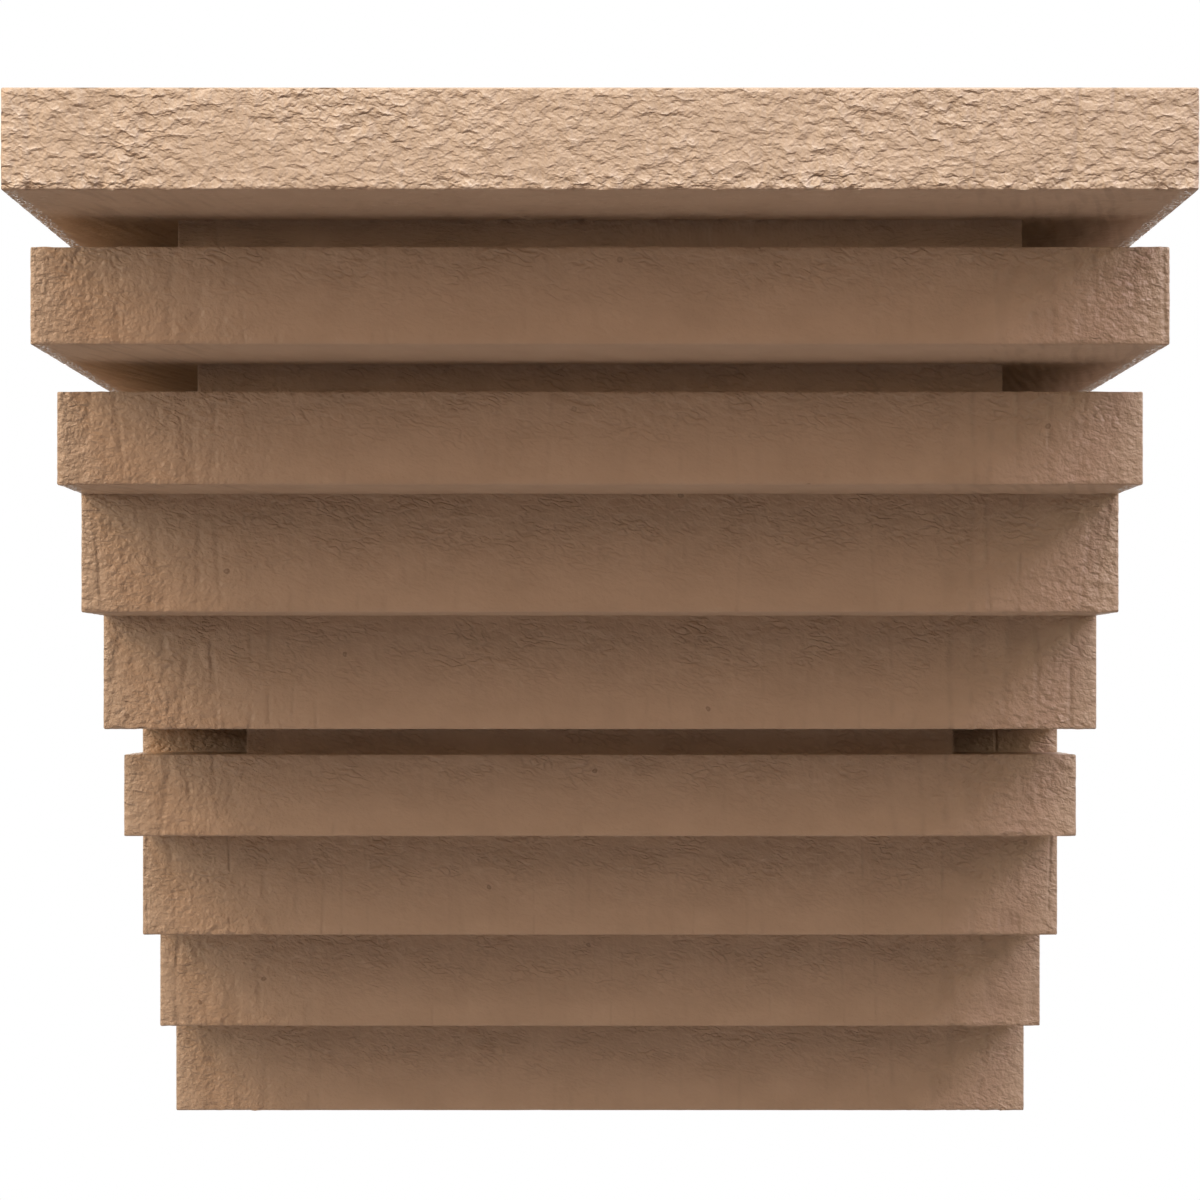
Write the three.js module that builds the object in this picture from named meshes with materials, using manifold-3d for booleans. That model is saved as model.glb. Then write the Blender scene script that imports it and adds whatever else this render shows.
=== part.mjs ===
// A stepped timber-look corbel, cast in one piece.
//
// Nine full-width slabs hang under one another, and each stops short of the one above it, so the
// side is a staircase turned upside down. Most slabs meet. Three of the joints are open shadow
// gaps instead, which run across the front and some way back along both ends, round a narrower core.
//
// Millimetres, +Z up. The back is the plane y = 0 against the wall, the front faces -Y, and the
// origin is the middle of the back.

import * as THREE from 'three';
import { mergeVertices } from 'three/addons/utils/BufferGeometryUtils.js';
import Module from 'manifold-3d';

// Driving dimensions
const WIDTH = 304.8; // along the wall, the same for every slab
const SLAB_COUNT = 9;
const SLAB_THICKNESS = 26.128;
const GAP_HEIGHT = 8.706; // joint between two slabs, open or filled
const STEP_BACK = 34.834; // from one slab's front to the next one's, towards the wall
const FOOT_PROJECTION = 26.128; // from the wall to the lowest slab's front
const OPEN_GAPS_BELOW = [1, 2, 5]; // slabs with a shadow gap below them, counted from the top
const CORE_END_INSET = 38.1; // from the slabs' ends in to the core's sides
const CORE_FRONT_SETBACK = 8.709; // from the lower slab's front back to the core's front
const GROOVE_STOP_SLAB = 7; // the gaps run back along the ends as far as this slab's front
const CUT_OVERRUN = 6; // how far a cutter runs out past the surface that it opens

// Worked out from them
const PITCH = SLAB_THICKNESS + GAP_HEIGHT;
const HEIGHT = SLAB_COUNT * PITCH - GAP_HEIGHT;
const HALF_WIDTH = WIDTH / 2;
const CORE_HALF_WIDTH = HALF_WIDTH - CORE_END_INSET;

const wasm = await Module();
wasm.setup();

// Slabs are numbered from the top, starting at 1. Heights are measured from the top face, down.
const slabTop = (slab) => -(slab - 1) * PITCH;
const slabBottom = (slab) => slabTop(slab) - SLAB_THICKNESS;
const slabFront = (slab) => -(FOOT_PROJECTION + (SLAB_COUNT - slab) * STEP_BACK);

// Turns an outline drawn as (y, z) into a bar that runs along X from one place to another.
function barAlongX(outline, fromX, toX) {
  const geometry = new THREE.ExtrudeGeometry(outline, { depth: toX - fromX, bevelEnabled: false });
  const drawnToPart = new THREE.Matrix4().makeBasis(
    new THREE.Vector3(0, 1, 0),
    new THREE.Vector3(0, 0, 1),
    new THREE.Vector3(1, 0, 0),
  );
  geometry.applyMatrix4(drawnToPart);
  geometry.translate(fromX, 0, 0);
  return geometry;
}

// The side of the corbel with every joint filled: each slab's front rises to the slab above.
function staircaseOutline() {
  const outline = new THREE.Shape();
  outline.moveTo(0, slabTop(1));
  for (let slab = 1; slab <= SLAB_COUNT; slab += 1) {
    outline.lineTo(slabFront(slab), slab === 1 ? slabTop(1) : slabBottom(slab - 1));
    outline.lineTo(slabFront(slab), slabBottom(slab));
  }
  outline.lineTo(0, slabBottom(SLAB_COUNT));
  outline.closePath();
  return outline;
}

// The side view of one stretch of a gap, between the slab above and the one below.
function gapOutline(slabAbove, frontY, backY) {
  const outline = new THREE.Shape();
  outline.moveTo(frontY, slabTop(slabAbove + 1));
  outline.lineTo(backY, slabTop(slabAbove + 1));
  outline.lineTo(backY, slabBottom(slabAbove));
  outline.lineTo(frontY, slabBottom(slabAbove));
  outline.closePath();
  return outline;
}

// What one shadow gap takes away: a groove across the front and one along each end.
function gapCutters(slabAbove) {
  const openFront = slabFront(slabAbove + 1) - CUT_OVERRUN;
  const coreFront = slabFront(slabAbove + 1) + CORE_FRONT_SETBACK;
  const grooveStop = slabFront(GROOVE_STOP_SLAB);
  const openEnd = HALF_WIDTH + CUT_OVERRUN;
  const across = gapOutline(slabAbove, openFront, coreFront);
  const along = gapOutline(slabAbove, openFront, grooveStop);
  return [
    barAlongX(across, -openEnd, openEnd),
    barAlongX(along, -openEnd, -CORE_HALF_WIDTH),
    barAlongX(along, CORE_HALF_WIDTH, openEnd),
  ];
}

function toSolid(geometry) {
  const shell = geometry.clone();
  shell.deleteAttribute('normal');
  shell.deleteAttribute('uv');
  const merged = mergeVertices(shell);
  return new wasm.Manifold(new wasm.Mesh({
    numProp: 3,
    vertProperties: new Float32Array(merged.attributes.position.array),
    triVerts: new Uint32Array(merged.index.array),
  }));
}

function toGeometry(solid) {
  const mesh = solid.getMesh();
  const geometry = new THREE.BufferGeometry();
  geometry.setAttribute('position', new THREE.BufferAttribute(mesh.vertProperties, 3));
  geometry.setIndex(new THREE.BufferAttribute(mesh.triVerts, 1));
  geometry.computeVertexNormals();
  return geometry;
}

function corbelGeometry() {
  let solid = toSolid(barAlongX(staircaseOutline(), -HALF_WIDTH, HALF_WIDTH));
  for (const cutter of OPEN_GAPS_BELOW.flatMap(gapCutters)) {
    solid = solid.subtract(toSolid(cutter));
  }
  return toGeometry(solid);
}

// Tan primer over the cast urethane
const primedUrethane = new THREE.MeshStandardMaterial({
  name: 'primed_urethane',
  color: new THREE.Color(0.78, 0.63, 0.48),
  roughness: 0.62,
  metalness: 0,
  flatShading: true,
});

const corbel = new THREE.Mesh(corbelGeometry(), primedUrethane);
corbel.name = 'corbel';
corbel.position.z = HEIGHT / 2;

const part = new THREE.Group();
part.add(corbel);

export default part;
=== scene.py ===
"""A timber-look urethane corbel: the finished surface of its one casting, in a plain studio.

Metres, +Z up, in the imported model's frame. The wall is the plane y = 0, the front faces -Y and
the origin is the middle of the back.
"""

from __future__ import annotations

import logging
from dataclasses import dataclass
from enum import Enum
from typing import Any, Callable, Union

import bmesh
import bpy
import numpy as np
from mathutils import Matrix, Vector, noise

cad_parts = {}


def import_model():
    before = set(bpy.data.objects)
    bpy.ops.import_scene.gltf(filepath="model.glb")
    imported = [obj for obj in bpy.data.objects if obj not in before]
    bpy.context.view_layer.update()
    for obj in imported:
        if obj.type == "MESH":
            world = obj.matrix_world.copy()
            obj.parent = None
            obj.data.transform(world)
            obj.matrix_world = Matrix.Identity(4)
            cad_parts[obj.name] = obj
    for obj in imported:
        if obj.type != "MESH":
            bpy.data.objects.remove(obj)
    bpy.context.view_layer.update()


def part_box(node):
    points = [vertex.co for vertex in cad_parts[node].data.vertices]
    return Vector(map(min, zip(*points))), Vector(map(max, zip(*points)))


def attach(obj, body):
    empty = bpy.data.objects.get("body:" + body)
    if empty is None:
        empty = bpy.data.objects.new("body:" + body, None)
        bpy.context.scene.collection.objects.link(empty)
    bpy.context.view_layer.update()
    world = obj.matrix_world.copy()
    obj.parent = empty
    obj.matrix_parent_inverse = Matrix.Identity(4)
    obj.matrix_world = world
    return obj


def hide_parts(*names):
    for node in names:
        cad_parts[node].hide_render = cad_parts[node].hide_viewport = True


LOG = logging.getLogger("corbel")
NODE = "corbel"
BODY = "root"
SLOT = "primed_urethane"
MM = 0.001
# Two places that are closer than this count as one.
NEAR = 0.05 * MM
# A direction of length 1 counts as running along an axis if more than this of it does.
MOSTLY = 0.9


class Run(Enum):
    """The three ways that an edge of the casting runs."""

    ALONG = 0
    INWARD = 1
    UPRIGHT = 2


class Layer(Enum):
    """The numbers that the mesh carries on its vertices, from 0 to 1."""

    PATCHES = "patches"
    BREAKS = "breaks"


class Signal:
    """A number that changes over a surface: a shader socket that takes part in arithmetic."""

    def __init__(self, sheet: "ShaderSheet", socket: bpy.types.NodeSocket) -> None:
        """Wraps a socket.

        Args:
            sheet: The node tree that the socket is in.
            socket: The output that holds the number.
        """
        self.sheet = sheet
        self.socket = socket

    def math(self, operation: str, *values: "Number") -> "Signal":
        """Adds a Math node.

        Args:
            operation: The node's operation.
            values: Its inputs in order.

        Returns:
            The result.
        """
        node = self.sheet.node("ShaderNodeMath", {"operation": operation}, dict(enumerate(values)))
        return Signal(self.sheet, node.outputs[0])

    def __add__(self, other: "Number") -> "Signal":
        """Gives self + other."""
        return self.math("ADD", self, other)

    __radd__ = __add__

    def __sub__(self, other: "Number") -> "Signal":
        """Gives self - other."""
        return self.math("SUBTRACT", self, other)

    def __rsub__(self, other: "Number") -> "Signal":
        """Gives other - self."""
        return self.math("SUBTRACT", other, self)

    def __mul__(self, other: "Number") -> "Signal":
        """Gives self * other."""
        return self.math("MULTIPLY", self, other)

    __rmul__ = __mul__

    def __abs__(self) -> "Signal":
        """Gives the size of self without its sign."""
        return self.math("ABSOLUTE", self)

    def fraction(self) -> "Signal":
        """Gives what is left of self above a whole number."""
        return self.math("FRACT", self)

    def at_least(self, other: "Number") -> "Signal":
        """Gives the larger of self and other."""
        return self.math("MAXIMUM", self, other)

    def between(self, start: float, end: float) -> "Signal":
        """Goes smoothly from 0 at one value to 1 at another.

        Args:
            start: Where the result is 0.
            end: Where the result is 1; it may be the smaller of the two.

        Returns:
            The result, from 0 to 1.
        """
        rising = start < end
        values = {
            "Value": self,
            "From Min": min(start, end),
            "From Max": max(start, end),
            "To Min": 0.0 if rising else 1.0,
            "To Max": 1.0 if rising else 0.0,
        }
        node = self.sheet.node("ShaderNodeMapRange", {"interpolation_type": "SMOOTHSTEP"}, values)
        return Signal(self.sheet, node.outputs["Result"])

    def spread(self, least: float, most: float) -> "Signal":
        """Turns the range from 0 to 1 into another one.

        Args:
            least: What 0 becomes.
            most: What 1 becomes.

        Returns:
            The result.
        """
        return self * (most - least) + least

    def to_share(self) -> "Signal":
        """Turns the range from -1 to 1 into 0 to 1."""
        return self * 0.5 + 0.5


Number = Union[Signal, float]


class ShaderSheet:
    """A material's node tree, written as expressions."""

    def __init__(self, name: str) -> None:
        """Makes a material with an empty tree.

        Args:
            name: The material's name.
        """
        self.material = bpy.data.materials.new(name)
        self.material.use_nodes = True
        self.tree = self.material.node_tree
        self.tree.nodes.clear()
        surface = self.node("ShaderNodeTexCoord", {}, {})
        self.place = surface.outputs["Object"]
        self.facing = surface.outputs["Normal"]

    def node(self, kind: str, settings: dict[str, Any], values: dict[Any, Any]) -> bpy.types.Node:
        """Adds any node.

        Args:
            kind: The node's type.
            settings: Its own properties, set first; "stops" are a ramp's (place, colour) pairs.
            values: A value, Signal or socket for each input, by name or number.

        Returns:
            The node.
        """
        node = self.tree.nodes.new(kind)
        for name, value in settings.items():
            if name == "stops":
                self._set_stops(node.color_ramp, value)
            else:
                setattr(node, name, value)
        self._fill(node.inputs, values)
        return node

    def _fill(self, sockets: Any, values: dict[Any, Any]) -> None:
        """Sets or links sockets.

        Args:
            sockets: The sockets, by name or number.
            values: A value, Signal or socket for each.
        """
        for key, value in values.items():
            if isinstance(value, Signal):
                self.tree.links.new(value.socket, sockets[key])
            elif isinstance(value, bpy.types.NodeSocket):
                self.tree.links.new(value, sockets[key])
            else:
                sockets[key].default_value = value

    @staticmethod
    def _set_stops(ramp: bpy.types.ColorRamp, stops: list[tuple[float, tuple[float, ...]]]) -> None:
        """Fills a colour ramp.

        Args:
            ramp: The ramp, which has two stops.
            stops: A place from 0 to 1 and a colour for each of them.
        """
        for element, (position, colour) in zip(ramp.elements, stops):
            element.position = position
            element.color = (*colour, 1.0)

    def split(self, vector: bpy.types.NodeSocket) -> tuple[Signal, Signal, Signal]:
        """Takes a vector apart.

        Args:
            vector: The place or direction.

        Returns:
            Its x, y and z.
        """
        outputs = self.node("ShaderNodeSeparateXYZ", {}, {"Vector": vector}).outputs
        return Signal(self, outputs[0]), Signal(self, outputs[1]), Signal(self, outputs[2])

    def spot(self, x: Number, y: Number, z: Number) -> bpy.types.NodeSocket:
        """Puts a place together.

        Args:
            x: Its first number.
            y: Its second number.
            z: Its third number.

        Returns:
            The place.
        """
        return self.node("ShaderNodeCombineXYZ", {}, {"X": x, "Y": y, "Z": z}).outputs[0]

    def stretched(self, scale: tuple[float, float, float]) -> bpy.types.NodeSocket:
        """Gives the place on the casting, scaled.

        Args:
            scale: How many lengths of a pattern go into a metre, along each axis.

        Returns:
            The scaled place.
        """
        settings = {"operation": "MULTIPLY"}
        return self.node("ShaderNodeVectorMath", settings, {0: self.place, 1: scale}).outputs[0]

    def cloud(
        self, place: bpy.types.NodeSocket, detail: float = 0.0, roughness: float = 0.5
    ) -> Signal:
        """Reads a noise pattern.

        Args:
            place: Where it is read, one pattern length to a unit.
            detail: How many finer octaves it has.
            roughness: How strong the finer octaves are.

        Returns:
            The noise, about -1 to 1.
        """
        values = {"Vector": place, "Scale": 1.0, "Detail": detail, "Roughness": roughness}
        node = self.node("ShaderNodeTexNoise", {}, values)
        return Signal(self, node.outputs[0]) * 2.0 - 1.0

    def mixed_colour(self, share: Signal, first: Any, second: Any) -> bpy.types.NodeSocket:
        """Mixes two colours.

        Args:
            share: How much of the second colour there is.
            first: A colour or a socket.
            second: A colour or a socket.

        Returns:
            The mixed colour.
        """
        values = {"Factor": share, "A": first, "B": second}
        node = self.tree.nodes.new("ShaderNodeMix")
        node.data_type = "RGBA"
        sockets = {socket.name: socket for socket in node.inputs if socket.enabled}
        self._fill(sockets, values)
        return next(socket for socket in node.outputs if socket.enabled)

    def brushed(self, layer: str) -> Signal:
        """Reads a number that the mesh carries on its vertices.

        Args:
            layer: The attribute's name.

        Returns:
            The number.
        """
        node = self.node("ShaderNodeAttribute", {"attribute_name": layer}, {})
        return Signal(self, node.outputs["Fac"])

    def dots(self, place: bpy.types.NodeSocket) -> tuple[Signal, Signal]:
        """Scatters points over a plane, one to a unit cell.

        Args:
            place: Where they are read; only its x and y count.

        Returns:
            How far the nearest one is, and a number from 0 to 1 that is its own.
        """
        settings = {"voronoi_dimensions": "2D"}
        outputs = self.node("ShaderNodeTexVoronoi", settings, {"Vector": place, "Scale": 1.0}).outputs
        own = self.node("ShaderNodeSeparateXYZ", {}, {"Vector": outputs["Color"]}).outputs[0]
        return Signal(self, outputs["Distance"]), Signal(self, own)


@dataclass
class CorbelForm:
    """The corbel's sizes: its box comes from the frame, the rest is as it was cast."""

    low: Vector
    high: Vector
    slab_count: int = 9
    gap: float = 8.706 * MM
    foot: float = 26.128 * MM
    open_gaps_below: tuple[int, ...] = (1, 2, 5)
    core_end_inset: float = 38.1 * MM
    core_front_setback: float = 8.709 * MM
    groove_stop_slab: int = 7

    @property
    def half_width(self) -> float:
        """Half the width of every slab."""
        return (self.high.x - self.low.x) / 2

    @property
    def core_half_width(self) -> float:
        """Half the width of the core that shows in the gaps."""
        return self.half_width - self.core_end_inset

    @property
    def depth(self) -> float:
        """From the wall to the top slab's front."""
        return self.high.y - self.low.y

    @property
    def pitch(self) -> float:
        """One slab and one joint."""
        return (self.high.z - self.low.z + self.gap) / self.slab_count

    @property
    def thickness(self) -> float:
        """The thickness of a slab."""
        return self.pitch - self.gap

    def top(self, slab: int) -> float:
        """Gives the height of a slab's top; slabs are numbered from the top, from 1."""
        return self.high.z - (slab - 1) * self.pitch

    def bottom(self, slab: int) -> float:
        """Gives the height of a slab's underside."""
        return self.top(slab) - self.thickness

    def front(self, slab: int) -> float:
        """Gives the y of a slab's front."""
        step_back = (self.depth - self.foot) / (self.slab_count - 1)
        return self.low.y + (slab - 1) * step_back


@dataclass(frozen=True)
class ZoneBands:
    """Where each zone fades in: it is 0 at the first number and whole at the second.

    The first three count metres in from a slab's end, the next three say how much the surface
    faces up or towards the wall, and the last two are shares of a pitch, counted down from the
    underside of the slab above.
    """

    ends: tuple[float, float] = (80 * MM, 20 * MM)
    tips: tuple[float, float] = (50 * MM, 8 * MM)
    rim: tuple[float, float] = (6 * MM, 1.5 * MM)
    underside: tuple[float, float] = (-0.5, -0.9)
    upright: tuple[float, float] = (0.9, 0.5)
    plain: tuple[float, float] = (0.5, 0.9)
    upper_face: tuple[float, float] = (0.9, 0.25)
    foot: tuple[float, float] = (0.84, 0.97)


class CastingZones:
    """Where a point of the surface lies on the casting, as signals that mostly go from 0 to 1."""

    def __init__(self, sheet: ShaderSheet, form: CorbelForm) -> None:
        """Works the zones out.

        Args:
            sheet: The material's tree.
            form: The casting's sizes.
        """
        bands = ZoneBands()
        self.half_width = form.half_width
        self.x, self.y, self.z = sheet.split(sheet.place)
        self.from_middle = abs(self.x)
        _, inward, up = sheet.split(sheet.facing)
        self.top_slab = self.z.between(form.bottom(1) - form.gap, form.bottom(1))
        self.ends = self._near_end(bands.ends)
        self.tips = self._near_end(bands.tips)
        self.underside = up.between(*bands.underside)
        self.upright = abs(up).between(*bands.upright)
        self.plain = up.at_least(inward).between(*bands.plain)
        self.rim = self._near_end(bands.rim) * self.underside
        down_face = ((form.top(1) + form.gap - self.z) * (1 / form.pitch)).fraction()
        self.upper_face = down_face.between(*bands.upper_face)
        self.foot = down_face.between(*bands.foot)
        self.patches = sheet.brushed(Layer.PATCHES.value)
        self.breaks = sheet.brushed(Layer.BREAKS.value)

    def _near_end(self, band: tuple[float, float]) -> Signal:
        """Fades in towards both ends of a slab.

        Args:
            band: How far in from the end it starts, and how far in it is whole, in metres.

        Returns:
            The zone, from 0 to 1.
        """
        start, whole = band
        return self.from_middle.between(self.half_width - start, self.half_width - whole)


@dataclass(frozen=True)
class PrimedUrethane:
    """Tan primer over urethane that was cast from sawn and blasted timber.

    Depths are in millimetres, and scales say how many lengths of a pattern go into a metre. A
    spread is a factor outside a zone and in the middle of it.
    """

    form: CorbelForm
    light: tuple[float, float, float] = (0.670, 0.540, 0.400)
    dark: tuple[float, float, float] = (0.550, 0.432, 0.310)
    tint_scale: tuple[float, float, float] = (60.0, 60.0, 110.0)
    # Painted shade: this colour darkens the ledges' hollows, the fine cuts, the saw marks, the blowholes
    # and the streaks.
    painted_shade: tuple[float, float, float] = (0.300, 0.215, 0.145)
    painted_shade_strength: float = 0.48
    painted_shade_band: tuple[float, float] = (-0.10, -0.60)
    # Painted highlight: this colour lightens the tops of the ledges and the glints.
    painted_highlight: tuple[float, float, float] = (0.840, 0.740, 0.620)
    painted_highlight_strength: float = 0.55
    painted_highlight_band: tuple[float, float] = (0.05, 0.55)
    roughness: float = 0.48
    underside_roughness: float = 0.80
    rim_roughness: float = 0.12
    ledge_scale: tuple[float, float] = (310.0, 450.0)
    ledge_depth: float = 0.80
    ledge_lean: float = 0.5
    slant: float = 0.20
    patch_spread: tuple[float, float] = (0.45, 1.0)
    foot_spread: tuple[float, float] = (1.0, 1.7)
    middle_spread: tuple[float, float] = (0.16, 0.56)
    tip_share: float = 0.5
    underside_calm: float = 0.6
    leather_scale: float = 500.0
    leather_depth: float = 0.38
    leather_spread: tuple[float, float] = (0.5, 1.0)
    leather_base: float = 0.26
    leather_on_top_slab: float = 0.5
    tick_scale: tuple[float, float] = (230.0, 470.0)
    tick_width: float = 0.26
    tick_depth: float = 0.20
    tick_shade: float = 0.5
    tick_spread: tuple[float, float] = (0.15, 1.0)
    saw_scale: tuple[float, float] = (110.0, 12.0)
    saw_width: float = 0.18
    saw_depth: float = 0.32
    saw_shade: float = 0.50
    saw_spread: tuple[float, float] = (0.3, 1.0)
    streak_scale: tuple[float, float] = (400.0, 45.0)
    streak_turn: float = 2.0
    streak_depth: float = 0.4
    streak_shade: float = 0.45
    streak_band: tuple[float, float] = (0.0, -0.35)
    streak_spread: tuple[float, float] = (0.15, 0.90)
    glint_scale: float = 1300.0
    glint_band: tuple[float, float] = (0.10, 0.28)
    pit_scale: float = 45.0
    pit_share: float = 0.13
    pit_fade: float = 0.5
    pit_shade: float = 1.6
    pit_radius: float = 0.045
    pit_floor: float = 0.6
    pit_floor_lift: float = 0.4

    def build(self) -> bpy.types.Material:
        """Makes the material.

        Returns:
            The material.
        """
        sheet = ShaderSheet(SLOT)
        zones = CastingZones(sheet, self.form)
        ledges = self._ledges(sheet, zones)
        ticks = self._ticks(sheet, zones)
        saw_marks = self._saw_marks(sheet, zones)
        painted_pits = self._pits(sheet, zones, ledges)
        streaks = self._streaks(sheet, zones)
        vigour = self._vigour(zones)
        # Glossy specks on the undersides near the ends: their low roughness and coat are real gloss, and
        # the colour also paints them pale as glints.
        glints = sheet.cloud(sheet.stretched((self.glint_scale,) * 3)) * zones.rim
        gloss_and_painted_glint = glints.between(*self.glint_band)
        leather = sheet.cloud(sheet.stretched((self.leather_scale,) * 3), detail=2.0, roughness=0.6)
        raised = ledges * vigour * self.ledge_depth
        raised = raised + leather * self.leather_depth * self._leathery(zones)
        raised = raised + streaks * self.streak_depth
        cut = ticks * self.tick_depth + saw_marks * self.saw_depth
        relief = {"Strength": 1.0, "Distance": MM, "Height": raised - cut}
        bump = sheet.node("ShaderNodeBump", {}, relief)
        # Painted shade: a darker colour in the ledges' hollows, the fine cuts, the saw marks, the
        # blowholes and the low parts of the streaks.
        low = (ledges.between(*self.painted_shade_band) * vigour).at_least(ticks * self.tick_shade)
        low = low.at_least(saw_marks * self.saw_shade).at_least(painted_pits * self.pit_shade)
        low = low.at_least(streaks.between(*self.streak_band) * self.streak_shade)
        # Painted highlight on the ledges' tops, and painted glints near the undersides' ends.
        high = (ledges.between(*self.painted_highlight_band) * vigour * self.painted_highlight_strength).at_least(gloss_and_painted_glint)
        dull = zones.underside * (self.underside_roughness - self.roughness) + self.roughness
        surface = sheet.node(
            "ShaderNodeBsdfPrincipled",
            {},
            {
                "Base Color": self._paint(sheet, low, high),
                "Roughness": dull - gloss_and_painted_glint * (self.underside_roughness - self.rim_roughness),
                "Coat Weight": gloss_and_painted_glint,
                "Normal": bump.outputs["Normal"],
            },
        )
        sheet.node("ShaderNodeOutputMaterial", {}, {"Surface": surface.outputs["BSDF"]})
        return sheet.material

    def _paint(self, sheet: ShaderSheet, low: Signal, high: Signal) -> bpy.types.NodeSocket:
        """Mixes the primer's colour, a little uneven, with painted shade in the hollows and painted
        highlights on the ridges.

        Args:
            sheet: The material's tree.
            low: 1 where the painted shade is darkest, at the bottom of the hollows and in the cuts, 0
                elsewhere.
            high: 1 where the painted highlight on the ridges or a painted glint is palest, 0 elsewhere.

        Returns:
            The colour.
        """
        tint = sheet.cloud(sheet.stretched(self.tint_scale), detail=1.0)
        stops = [(0.0, self.dark), (1.0, self.light)]
        paint = sheet.node("ShaderNodeValToRGB", {"stops": stops}, {"Fac": tint.to_share()})
        highlighted = sheet.mixed_colour(high, paint.outputs["Color"], (*self.painted_highlight, 1.0))
        return sheet.mixed_colour(low * self.painted_shade_strength, highlighted, (*self.painted_shade, 1.0))

    def _vigour(self, zones: CastingZones) -> Signal:
        """Says how rough the ledges are.

        Args:
            zones: Where on the casting.

        Returns:
            A factor, 0 on the plain back and top and up to about 1.7 elsewhere.
        """
        foot = zones.foot * zones.top_slab.at_least(zones.tips)
        middle = zones.upper_face.spread(*self.middle_spread)
        vigour = zones.top_slab.at_least(zones.tips * self.tip_share).at_least(middle)
        vigour = vigour * zones.patches.spread(*self.patch_spread) * foot.spread(*self.foot_spread)
        return vigour * (1.0 - zones.underside * self.underside_calm) * (1.0 - zones.plain)

    def _leathery(self, zones: CastingZones) -> Signal:
        """Says how strong the leathery bumps are.

        Args:
            zones: Where on the casting.

        Returns:
            A factor of about 0.1 to 1.3.
        """
        strong = zones.ends * zones.patches.spread(*self.leather_spread) * (1.0 - zones.plain)
        strong = strong * (1.0 - zones.top_slab) + self.leather_base
        strong = strong.at_least(zones.top_slab * self.leather_on_top_slab)
        return strong * (1.0 - zones.underside * self.underside_calm)

    def _slanted(self, zones: CastingZones) -> Signal:
        """Gives the height, slanted down to the right below the top slab.

        Args:
            zones: Where on the casting.

        Returns:
            The slanted height in metres.
        """
        return zones.z + zones.x * (1.0 - zones.top_slab) * self.slant

    def _ledges(self, sheet: ShaderSheet, zones: CastingZones) -> Signal:
        """Makes ragged ledges that lean over downwards, gentle above and steep below.

        Args:
            sheet: The material's tree.
            zones: Where on the casting.

        Returns:
            Their height, about -1 to 1.
        """
        along, up = self.ledge_scale
        x = zones.x * along
        y = zones.y * along
        z = self._slanted(zones) * up
        level = sheet.cloud(sheet.spot(x, y, z), detail=1.0)
        return sheet.cloud(sheet.spot(x, y, z + level * self.ledge_lean), detail=2.0)

    def _ticks(self, sheet: ShaderSheet, zones: CastingZones) -> Signal:
        """Makes short fine cuts that slant down to the right, on upright faces below the top slab.

        Args:
            sheet: The material's tree.
            zones: Where on the casting.

        Returns:
            1 in a cut, 0 elsewhere.
        """
        along, up = self.tick_scale
        bed = sheet.spot(zones.x * along, zones.y * along, self._slanted(zones) * up)
        line = abs(sheet.cloud(bed, detail=1.0)).between(self.tick_width, 0.0)
        there = zones.upper_face.spread(*self.tick_spread) * (1.0 - zones.top_slab) * zones.upright
        return line * zones.breaks * there * (1.0 - zones.plain)

    def _saw_marks(self, sheet: ShaderSheet, zones: CastingZones) -> Signal:
        """Scores upright lines of uneven spacing, broken here and there.

        Args:
            sheet: The material's tree.
            zones: Where on the casting.

        Returns:
            1 in a mark, 0 elsewhere.
        """
        across, up = self.saw_scale
        sweep = sheet.cloud(sheet.spot(zones.x * across, zones.y * across, zones.z * up))
        line = abs(sweep).between(self.saw_width, 0.0)
        shown = zones.upright * (1.0 - zones.plain)
        return line * (1.0 - zones.breaks) * zones.ends.spread(*self.saw_spread) * shown

    def _streaks(self, sheet: ShaderSheet, zones: CastingZones) -> Signal:
        """Draws slanting streaks across the undersides, stronger towards the ends.

        Args:
            sheet: The material's tree.
            zones: Where on the casting.

        Returns:
            Their height, about -1 to 1, and 0 off the undersides.
        """
        across, inward = self.streak_scale
        turned = zones.x * across - zones.y * (self.streak_turn * inward)
        bed = sheet.spot(turned, zones.y * inward, zones.z * inward)
        return sheet.cloud(bed) * zones.underside * zones.ends.spread(*self.streak_spread)

    def _pits(self, sheet: ShaderSheet, zones: CastingZones, ledges: Signal) -> Signal:
        """Scatters the painted shade of a few blowholes over the upright faces, darkest around their
        rims.

        Args:
            sheet: The material's tree.
            zones: Where on the casting.
            ledges: The ledges' height, which pulls the holes out of round.

        Returns:
            1 where the painted shade is darkest, 0 elsewhere.
        """
        around = (zones.x + zones.y) * self.pit_scale + ledges * self.pit_radius
        distance, own = sheet.dots(sheet.spot(around, zones.z * self.pit_scale, 0.0))
        floor_radius = self.pit_floor * self.pit_radius
        # Painted shade of a blowhole: a dark ring with a lighter floor.
        painted_hole = distance.between(self.pit_radius, floor_radius)
        middle = distance.between(floor_radius, 0.0) * self.pit_floor_lift
        chosen = own.between(self.pit_share, self.pit_fade * self.pit_share)
        return (painted_hole - middle) * chosen * zones.upright


def select_only(piece: bpy.types.Object) -> None:
    """Selects one object, and makes it the active one.

    Args:
        piece: The object.
    """
    bpy.ops.object.select_all(action="DESELECT")
    piece.select_set(True)
    bpy.context.view_layer.objects.active = piece


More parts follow.
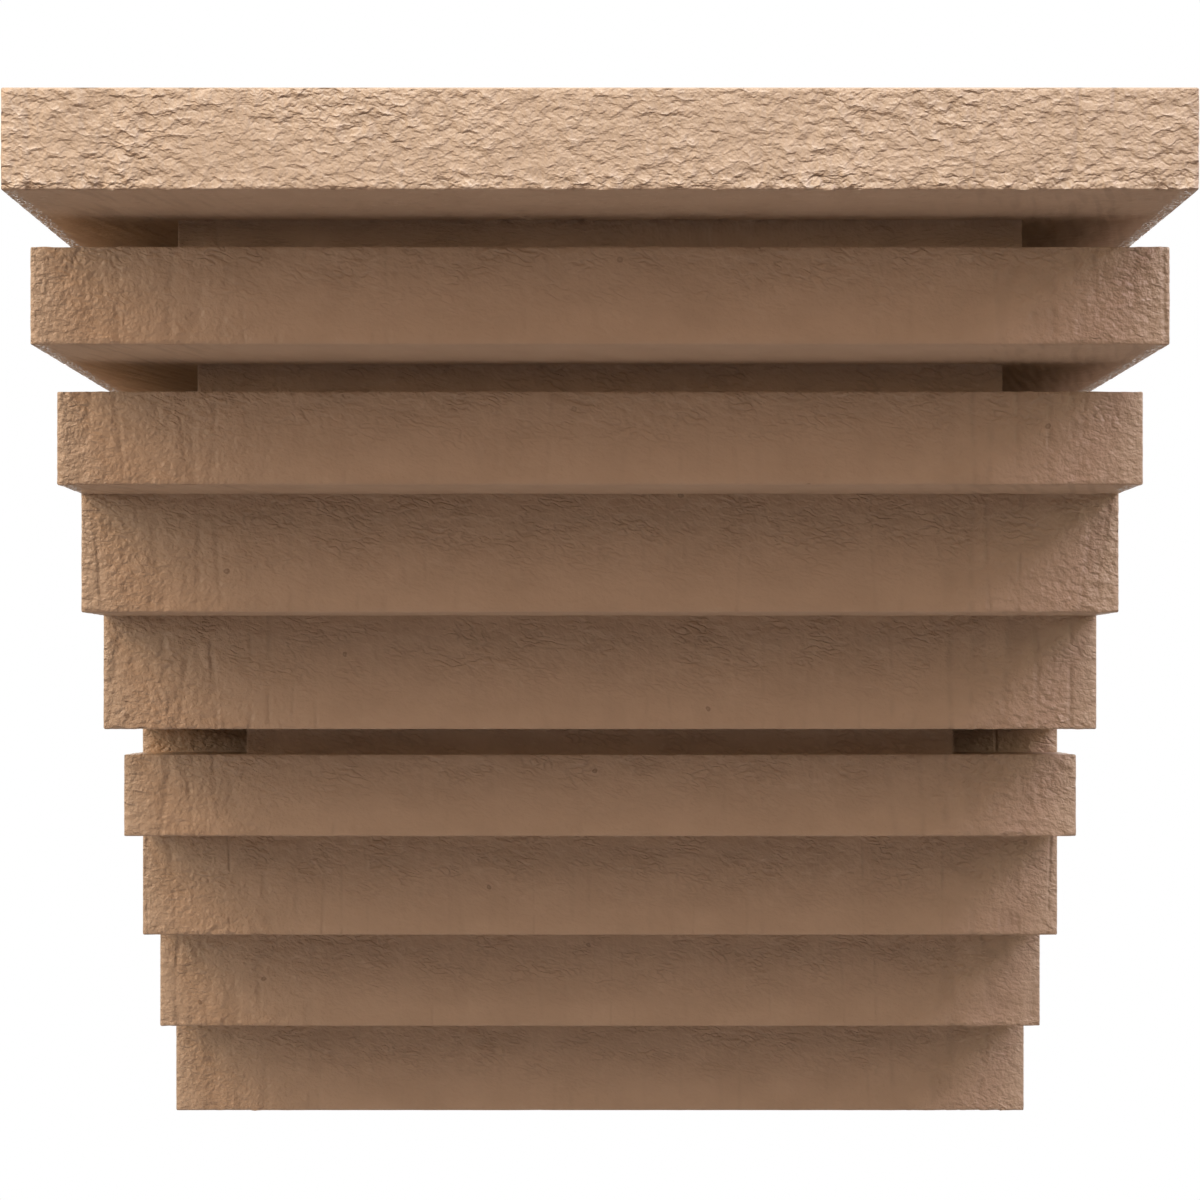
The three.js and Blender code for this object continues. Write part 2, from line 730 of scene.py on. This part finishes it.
class Bench:
    """Edit mode on one piece, whose faces, edges and corners are picked by a test."""

    def __init__(self, piece: bpy.types.Object) -> None:
        """Takes a piece.

        Args:
            piece: The mesh object to work on.
        """
        self.piece = piece

    def __enter__(self) -> "Bench":
        """Opens edit mode with nothing picked.

        Returns:
            The bench.
        """
        select_only(self.piece)
        bpy.ops.object.mode_set(mode="EDIT")
        bpy.ops.mesh.select_all(action="DESELECT")
        return self

    def __exit__(self, *_: Any) -> None:
        """Goes back to object mode."""
        bpy.ops.object.mode_set(mode="OBJECT")

    def _pick(self, kind: str, layer: str, test: Callable[[Any], bool]) -> None:
        """Picks what passes a test, and nothing else.

        Args:
            kind: The select mode: VERT, EDGE or FACE.
            layer: The matching list of the mesh: verts, edges or faces.
            test: Says which ones are picked.
        """
        bpy.ops.mesh.select_mode(type=kind)
        bpy.ops.mesh.select_all(action="DESELECT")
        mesh = bmesh.from_edit_mesh(self.piece.data)
        mesh.normal_update()
        picked = [item for item in getattr(mesh, layer) if test(item)]
        for item in picked:
            item.select_set(True)
        mesh.select_flush_mode()
        bmesh.update_edit_mesh(self.piece.data)

    def pick_faces(self, test: Callable[[bmesh.types.BMFace], bool]) -> None:
        """Picks the faces that pass a test."""
        self._pick("FACE", "faces", test)

    def pick_edges(self, test: Callable[[bmesh.types.BMEdge], bool]) -> None:
        """Picks the edges that pass a test."""
        self._pick("EDGE", "edges", test)

    def pick_corners(self, test: Callable[[bmesh.types.BMVert], bool]) -> None:
        """Picks the vertices that pass a test."""
        self._pick("VERT", "verts", test)

    def cut_across(self, y: float) -> None:
        """Cuts every face along an upright plane that faces the wall.

        Args:
            y: The plane's place.
        """
        bpy.ops.mesh.select_mode(type="FACE")
        bpy.ops.mesh.select_all(action="SELECT")
        bpy.ops.mesh.bisect(plane_co=(0.0, y, 0.0), plane_no=(0.0, 1.0, 0.0))

    def pull(self, offset: tuple[float, float, float]) -> None:
        """Extrudes the picked faces.

        Args:
            offset: How far and which way they go.
        """
        bpy.ops.mesh.extrude_region_move(TRANSFORM_OT_translate={"value": offset})

    def split_edges(self, run: Run, shortest: float, longest: float, cells: int) -> None:
        """Splits the edges that run one way into equal cells.

        Args:
            run: The way that they run.
            shortest: The least extent along it, in metres.
            longest: The greatest extent along it, in metres.
            cells: How many cells each edge gives.
        """

        def runs_so(edge: bmesh.types.BMEdge) -> bool:
            """Tells whether an edge is one of them."""
            across = edge.verts[0].co - edge.verts[1].co
            extent = abs(across[run.value])
            return shortest < extent < longest and extent > MOSTLY * across.length

        self.pick_edges(runs_so)
        bpy.ops.mesh.subdivide(number_cuts=cells - 1)


@dataclass
class GridSpacing:
    """How finely the casting's surface is divided to take its relief.

    The shares tell which edges are divided. Each gives the least length, or the least and the
    greatest, against the length that it is named after. They aren't 1 because the arrises have
    taken a little off each edge.
    """

    quarters: int = 4
    quarter_width_cells: int = 76
    slab_rows: int = 32
    gap_rows: int = 11
    step_cells: int = 14
    groove_cells: int = 16
    core_share: float = 0.9
    inset_shares: tuple[float, float] = (0.8, 1.1)
    foot_share: float = 0.6
    slab_share: float = 0.8
    gap_shares: tuple[float, float] = (0.7, 1.1)
    longest_edge: float = 1.0
    most_triangles: int = 190_000


@dataclass
class SawnRelief:
    """The relief that sawn and blasted timber leaves on a casting, in metres.

    A wave is the middle of a number that changes over the surface, and how far it swings.
    """

    form: CorbelForm
    ledge: float = 0.44 * MM
    ledge_length: float = 3.3 * MM
    ledge_rise: float = 2.3 * MM
    ledge_octaves: int = 3
    lean: float = 0.5
    lean_octaves: int = 2
    slant: float = 0.25
    patch: float = 24.0 * MM
    patch_wave: tuple[float, float] = (0.5, 1.1)
    rough_wave: tuple[float, float] = (0.65, 0.6)
    break_length: float = 9.0 * MM
    break_ratio: float = 1.6
    break_wave: tuple[float, float] = (0.45, 1.6)
    saw_step: float = 0.12 * MM
    saw_spacing: float = 9.0 * MM
    saw_length: float = 80.0 * MM
    foot_band: float = 6.0 * MM
    foot_gain: float = 0.9
    end_reach: float = 45 * MM
    end_share: float = 0.7
    middle_share: float = 0.75
    middle_fall: float = 0.5
    plain_edge: float = 2.5 * MM
    underside_share: float = 0.4
    side_share: float = 0.4
    side_arris_share: float = 0.1
    side_facing: float = 0.5

    def height(self, place: Vector, normal: Vector) -> float:
        """Gives how far the surface stands out.

        Args:
            place: The point on the plain form.
            normal: The way that the form faces there.

        Returns:
            The height in metres, about the plain form.
        """
        on_top_slab = place.z > self.form.bottom(1) - NEAR
        slanted = place.z if on_top_slab else place.z + self.slant * place.x
        length = self.ledge_length
        spot = Vector((place.x / length, place.y / length, slanted / self.ledge_rise))
        spot.z += self.lean * self._ragged(spot, self.lean_octaves)
        ledges = self._ragged(spot, self.ledge_octaves) * self._vigour(place, on_top_slab)
        saw = Vector((place.x, place.y, place.z * self.saw_spacing / self.saw_length)) / self.saw_spacing
        height = self.ledge * ledges + self.saw_step * noise.noise(saw)
        if normal.z < -MOSTLY:
            height *= self.underside_share
        elif abs(normal.x) > self.side_facing:
            height *= self.side_share if abs(normal.x) > MOSTLY else self.side_arris_share
        return height * self._fade(place)

    def unevenness(self, layer: Layer, place: Vector) -> float:
        """Gives what a layer of the mesh holds at a point.

        Args:
            layer: The layer.
            place: The point.

        Returns:
            About 0 to 1.
        """
        if layer is Layer.PATCHES:
            return self._wave(self.patch_wave, place / self.patch)
        spot = Vector((place.x, place.y, place.z * self.break_ratio)) / self.break_length
        return self._wave(self.break_wave, spot)

    @staticmethod
    def _wave(wave: tuple[float, float], spot: Vector) -> float:
        """Reads a smooth noise as a number that swings about a middle.

        Args:
            wave: The middle and the swing.
            spot: Where it is read, one pattern length to a unit.

        Returns:
            The number.
        """
        middle, swing = wave
        return middle + swing * noise.noise(spot)

    @staticmethod
    def _ragged(spot: Vector, octaves: int) -> float:
        """Reads a noise whose octaves are each twice as fine and half as strong as the last.

        Args:
            spot: Where it is read, one pattern length to a unit.
            octaves: How many octaves it has.

        Returns:
            The noise, about -1 to 1.
        """
        half_as_strong, twice_as_fine = 1.0, 2.0
        return noise.fractal(spot, half_as_strong, twice_as_fine, octaves)

    def _vigour(self, place: Vector, on_top_slab: bool) -> float:
        """Gives how rough the surface is.

        Args:
            place: The point on the plain form.
            on_top_slab: Whether it is on the top slab, the roughest.

        Returns:
            A factor of about 0.1 to 2.
        """
        form = self.form
        patch = self._wave(self.rough_wave, place / self.patch)
        down_face = ((form.top(1) + form.gap - place.z) / form.pitch) % 1.0
        at_end = abs(place.x) > form.half_width - self.end_reach
        if on_top_slab or at_end:
            above_foot = (1.0 - down_face) * form.pitch
            share = 1.0 if on_top_slab else self.end_share
            foot = max(0.0, 1.0 - above_foot / self.foot_band)
            return share * patch * (1.0 + self.foot_gain * foot)
        return patch * (self.middle_share - self.middle_fall * down_face)

    def _fade(self, place: Vector) -> float:
        """Gives how much relief is left near the flat back and top.

        Args:
            place: The point on the plain form.

        Returns:
            From 0 on the back and the top to 1 a little way off.
        """
        from_back = min(1.0, (self.form.high.y - place.y) / self.plain_edge)
        from_top = min(1.0, (self.form.high.z - place.z) / self.plain_edge)
        return max(0.0, from_back) * max(0.0, from_top)


@dataclass
class CorbelCasting:
    """The corbel: slabs that step back downwards, three shadow gaps and a sawn surface.

    The angles are in radians.
    """

    form: CorbelForm
    grid: GridSpacing
    relief: SawnRelief
    finish: PrimedUrethane
    arris: float = 0.45 * MM
    arris_segments: int = 2
    sharp_angle: float = 0.5
    smooth_angle: float = 1.0
    flat_facing: float = 0.99

    def build(self) -> bpy.types.Object:
        """Models and dresses the casting.

        Returns:
            The finished piece.
        """
        piece = self._add_top_slab()
        with Bench(piece) as bench:
            for slab in range(2, self.form.slab_count + 1):
                self._hang_slab(bench, slab)
            for slab in self.form.open_gaps_below:
                self._open_gap(bench, slab)
            self._round_arrises(bench)
            self._lay_grid(bench)
            self._plain_back_and_top(bench)
        self._press_relief(piece)
        self._thin(piece)
        self._brush_layers(piece)
        self._dress(piece)
        return piece

    def _add_top_slab(self) -> bpy.types.Object:
        """Adds the block that the rest hangs from.

        Returns:
            The top slab.
        """
        form = self.form
        centre = (0.0, form.high.y - form.depth / 2, form.top(1) - form.thickness / 2)
        size = (2 * form.half_width, form.depth, form.thickness)
        bpy.ops.object.select_all(action="DESELECT")
        bpy.ops.mesh.primitive_cube_add(size=1.0, location=centre, scale=size)
        piece = bpy.context.active_object
        piece.name = "corbel_casting"
        piece.data.name = "corbel_casting"
        bpy.ops.object.transform_apply(location=True, rotation=True, scale=True)
        return piece

    def _hang_slab(self, bench: Bench, slab: int) -> None:
        """Draws the next slab down from the underside of the one above.

        Args:
            bench: Edit mode on the casting.
            slab: The slab's number.
        """
        form = self.form
        underside = form.bottom(slab - 1)
        front = form.front(slab)
        bench.cut_across(front)

        def behind_front(face: bmesh.types.BMFace) -> bool:
            """Tells whether a face is the underside that the slab hangs from."""
            centre = face.calc_center_median()
            return abs(centre.z - underside) < NEAR and centre.y > front

        bench.pick_faces(behind_front)
        bench.pull((0.0, 0.0, -form.gap))
        bench.pull((0.0, 0.0, -form.thickness))

    def _open_gap(self, bench: Bench, slab: int) -> None:
        """Sinks a shadow gap below a slab, across the front and along both ends.

        Args:
            bench: Edit mode on the casting.
            slab: The number of the slab above the gap.
        """
        form = self.form
        ceiling = form.bottom(slab)
        floor = form.top(slab + 1)
        front = form.front(slab + 1)
        stop = form.front(form.groove_stop_slab)

        def in_mouth(face: bmesh.types.BMFace) -> bool:
            """Tells whether a face closes the gap."""
            centre = face.calc_center_median()
            upright = abs(face.normal.z) < MOSTLY
            return upright and floor < centre.z < ceiling and front - NEAR < centre.y < stop

        def on_core_front(corner: bmesh.types.BMVert) -> bool:
            """Tells whether a corner belongs to the core's front."""
            level = floor - NEAR < corner.co.z < ceiling + NEAR
            inside = abs(corner.co.x) < form.core_half_width + NEAR
            return level and inside and abs(corner.co.y - front) < NEAR

        bench.pick_faces(in_mouth)
        bench.pull((0.0, 0.0, 0.0))
        share = form.core_half_width / form.half_width
        bpy.ops.transform.resize(value=(share, 1.0, 1.0), center_override=(0.0, 0.0, 0.0))
        bench.pick_corners(on_core_front)
        bpy.ops.transform.translate(value=(0.0, form.core_front_setback, 0.0))

    def _round_arrises(self, bench: Bench) -> None:
        """Takes the sharpness off every outer edge.

        Args:
            bench: Edit mode on the casting.
        """

        def is_arris(edge: bmesh.types.BMEdge) -> bool:
            """Tells whether an edge stands out sharply."""
            return edge.is_convex and edge.calc_face_angle(0.0) > self.sharp_angle

        bench.pick_edges(is_arris)
        bpy.ops.mesh.bevel(offset=self.arris, segments=self.arris_segments, profile=0.5, affect="EDGES")

    def _lay_grid(self, bench: Bench) -> None:
        """Divides the faces into cells fine enough for the relief.

        Args:
            bench: Edit mode on the casting.
        """
        form = self.form
        grid = self.grid
        most = grid.longest_edge
        width = grid.core_share * 2 * form.core_half_width
        shortest_inset, longest_inset = (share * form.core_end_inset for share in grid.inset_shares)
        lowest_gap, highest_gap = (share * form.gap for share in grid.gap_shares)
        bench.split_edges(Run.ALONG, width, most, grid.quarters)
        bench.split_edges(Run.ALONG, width / grid.quarters, most, grid.quarter_width_cells)
        bench.split_edges(Run.ALONG, shortest_inset, longest_inset, grid.groove_cells)
        bench.split_edges(Run.INWARD, grid.foot_share * form.foot, most, grid.step_cells)
        bench.split_edges(Run.UPRIGHT, grid.slab_share * form.thickness, most, grid.slab_rows)
        bench.split_edges(Run.UPRIGHT, lowest_gap, highest_gap, grid.gap_rows)

    def _plain_back_and_top(self, bench: Bench) -> None:
        """Makes the back and the top one flat face each.

        Args:
            bench: Edit mode on the casting.
        """
        form = self.form

        def on_back(face: bmesh.types.BMFace) -> bool:
            """Tells whether a face is part of the back."""
            at_wall = face.calc_center_median().y > form.high.y - NEAR
            return at_wall and face.normal.y > self.flat_facing

        def on_top(face: bmesh.types.BMFace) -> bool:
            """Tells whether a face is part of the top."""
            at_top = face.calc_center_median().z > form.high.z - NEAR
            return at_top and face.normal.z > self.flat_facing

        for test in (on_back, on_top):
            bench.pick_faces(test)
            bpy.ops.mesh.dissolve_faces()

    def _press_relief(self, piece: bpy.types.Object) -> None:
        """Moves every vertex out or in to the height of the relief.

        Args:
            piece: The casting, divided into cells.
        """
        mesh = piece.data
        places = np.empty(3 * len(mesh.vertices))
        normals = np.empty(3 * len(mesh.vertices))
        mesh.vertices.foreach_get("co", places)
        mesh.vertex_normals.foreach_get("vector", normals)
        places = places.reshape(-1, 3)
        normals = normals.reshape(-1, 3)
        for place, normal in zip(places, normals):
            place += normal * self.relief.height(Vector(place), Vector(normal))
        mesh.vertices.foreach_set("co", places.ravel())
        mesh.update()

    def _thin(self, piece: bpy.types.Object) -> None:
        """Merges cells where the surface is calm, down to the most triangles allowed.

        Args:
            piece: The casting with its relief.
        """
        corners = sum(len(face.vertices) for face in piece.data.polygons)
        triangles = corners - 2 * len(piece.data.polygons)
        select_only(piece)
        bpy.ops.object.modifier_add(type="DECIMATE")
        thinner = piece.modifiers[-1]
        thinner.ratio = min(1.0, self.grid.most_triangles / triangles)
        bpy.ops.object.modifier_apply(modifier=thinner.name)

    def _brush_layers(self, piece: bpy.types.Object) -> None:
        """Writes on the vertices where the surface is rough and where its fine cuts break off.

        Args:
            piece: The thinned casting.
        """
        mesh = piece.data
        places = np.empty(3 * len(mesh.vertices))
        mesh.vertices.foreach_get("co", places)
        spots = [Vector(place) for place in places.reshape(-1, 3)]
        for layer in Layer:
            values = np.array([self.relief.unevenness(layer, spot) for spot in spots])
            attribute = mesh.attributes.new(layer.value, "FLOAT", "POINT")
            attribute.data.foreach_set("value", np.clip(values, 0.0, 1.0))

    def _dress(self, piece: bpy.types.Object) -> None:
        """Gives the casting its finish and its place in the frame.

        Args:
            piece: The casting.
        """
        select_only(piece)
        bpy.ops.object.shade_smooth_by_angle(angle=self.smooth_angle)
        piece.data.materials.clear()
        piece.data.materials.append(self.finish.build())
        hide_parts(NODE)
        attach(piece, BODY)


@dataclass(frozen=True)
class Softbox:
    """A rectangular studio light."""

    name: str
    place: tuple[float, float, float]
    target: tuple[float, float, float]
    size: tuple[float, float]
    power: float
    colour: tuple[float, float, float]

    def build(self) -> None:
        """Hangs the light and turns it to its target."""
        light = bpy.data.lights.new(self.name, "AREA")
        light.shape = "RECTANGLE"
        light.size, light.size_y = self.size
        light.energy = self.power
        light.color = self.colour
        lamp = bpy.data.objects.new(self.name, light)
        lamp.location = self.place
        aim = Vector(self.target) - Vector(self.place)
        lamp.rotation_euler = aim.to_track_quat("-Z", "Y").to_euler()
        bpy.context.scene.collection.objects.link(lamp)


@dataclass
class Studio:
    """The pale floor, the soft light, the white surroundings and the camera.

    The focal length and the sensor are in millimetres, and the rise is a share of the picture.
    """

    floor_drop: float = 0.6
    floor_size: float = 2.4
    floor_colour: tuple[float, float, float] = (0.88, 0.86, 0.84)
    floor_bounce: tuple[float, float, float] = (0.40, 0.36, 0.34)
    floor_roughness: float = 0.8
    camera_distance: float = 0.97766
    focal_length: float = 79.39
    sensor_width: float = 36.0
    nearest_seen: float = 0.05
    rise: float = 86.5 / 1200
    lit_spot: tuple[float, float, float] = (0.0, -0.15, 0.0)
    surround: tuple[float, float, float] = (1.0, 1.0, 1.0)
    gleam: tuple[float, float, float] = (0.50, 0.46, 0.43)
    ambient: tuple[float, float, float] = (0.062, 0.045, 0.047)

    def build(self) -> None:
        """Sets up everything around the object."""
        self._lay_floor()
        self._set_world()
        for softbox in self._softboxes():
            softbox.build()
        self._place_camera()
        bpy.context.scene.view_settings.view_transform = "Standard"

    def _softboxes(self) -> list[Softbox]:
        """Lists the lights.

        Returns:
            The overhead light, one in front, two at each side and a dim one behind.
        """
        spot = self.lit_spot
        return [
            Softbox("light_overhead", (0.0, -0.8, 1.2), spot, (1.4, 0.5), 15.0, (0.93, 1.0, 0.99)),
            Softbox("light_front", (0.0, -1.6, 0.9), spot, (1.6, 1.2), 2.8, (1.0, 0.35, 0.15)),
            Softbox("light_left", (-1.2, -0.7, 1.1), spot, (0.7, 0.7), 11.8, (1.0, 0.66, 0.43)),
            Softbox("light_right", (1.2, -0.7, 1.1), spot, (0.7, 0.7), 11.1, (1.0, 0.80, 0.91)),
            Softbox("light_low_left", (-1.5, -0.9, 0.5), spot, (0.8, 0.8), 9.4, (1.0, 0.82, 0.66)),
            Softbox("light_low_right", (1.5, -0.9, 0.5), spot, (0.8, 0.8), 4.3, (1.0, 0.83, 0.60)),
            Softbox("light_back", (0.0, 1.4, 0.3), spot, (1.2, 0.5), 3.0, (1.0, 0.95, 0.90)),
        ]

    def _lay_floor(self) -> None:
        """Lays the pale floor below the object; it throws back less light than it shows."""
        bpy.ops.object.select_all(action="DESELECT")
        bpy.ops.mesh.primitive_plane_add(size=self.floor_size, location=(0.0, 0.0, -self.floor_drop))
        floor = bpy.context.active_object
        floor.name = "studio_floor"
        sheet = ShaderSheet("pale_floor")
        seen = Signal(sheet, sheet.node("ShaderNodeLightPath", {}, {}).outputs["Is Camera Ray"])
        colour = sheet.mixed_colour(seen, (*self.floor_bounce, 1.0), (*self.floor_colour, 1.0))
        values = {"Base Color": colour, "Roughness": self.floor_roughness}
        paint = sheet.node("ShaderNodeBsdfPrincipled", {}, values)
        sheet.node("ShaderNodeOutputMaterial", {}, {"Surface": paint.outputs["BSDF"]})
        floor.data.materials.append(sheet.material)

    def _set_world(self) -> None:
        """Makes the surroundings white to look at and dimmer as a light."""
        world = bpy.data.worlds.new("studio_world")
        world.use_nodes = True
        tree = world.node_tree
        tree.nodes.clear()
        rays = tree.nodes.new("ShaderNodeLightPath").outputs
        shown = self._glow(tree, self.ambient)
        for ray, colour in (("Is Glossy Ray", self.gleam), ("Is Camera Ray", self.surround)):
            mix = tree.nodes.new("ShaderNodeMixShader")
            tree.links.new(rays[ray], mix.inputs["Fac"])
            tree.links.new(shown, mix.inputs[1])
            tree.links.new(self._glow(tree, colour), mix.inputs[2])
            shown = mix.outputs["Shader"]
        output = tree.nodes.new("ShaderNodeOutputWorld")
        tree.links.new(shown, output.inputs["Surface"])
        bpy.context.scene.world = world

    @staticmethod
    def _glow(tree: bpy.types.NodeTree, colour: tuple[float, float, float]) -> bpy.types.NodeSocket:
        """Adds an even glow to the world.

        Args:
            tree: The world's tree.
            colour: The glow's colour.

        Returns:
            Its shader.
        """
        glow = tree.nodes.new("ShaderNodeBackground")
        glow.inputs["Color"].default_value = (*colour, 1.0)
        glow.inputs["Strength"].default_value = 1.0
        return glow.outputs["Background"]

    def _place_camera(self) -> None:
        """Places the camera square on to the front, level with the object's middle."""
        data = bpy.data.cameras.new("studio_camera")
        data.sensor_width = self.sensor_width
        data.lens = self.focal_length
        data.shift_y = self.rise
        data.clip_start = self.nearest_seen
        camera = bpy.data.objects.new("studio_camera", data)
        camera.location = (0.0, -self.camera_distance, 0.0)
        camera.rotation_euler = Vector((0.0, 1.0, 0.0)).to_track_quat("-Z", "Y").to_euler()
        bpy.context.scene.collection.objects.link(camera)
        bpy.context.scene.camera = camera


def plain(box: Any) -> list[list[float]]:
    """Turns a box into plain numbers.

    Args:
        box: Its lowest and highest corners.

    Returns:
        The corners as lists.
    """
    return [[float(value) for value in corner] for corner in box]


def main() -> None:
    """Builds the corbel and the studio round it."""
    logging.basicConfig(level=logging.INFO, format="%(message)s")
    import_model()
    low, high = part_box(NODE)
    form = CorbelForm(Vector(low), Vector(high))
    casting = CorbelCasting(form, GridSpacing(), SawnRelief(form), PrimedUrethane(form)).build()
    LOG.info("%s: %d faces", casting.name, len(casting.data.polygons))
    Studio().build()
    LOG.info("studio ready")


if __name__ == "__main__":
    main()
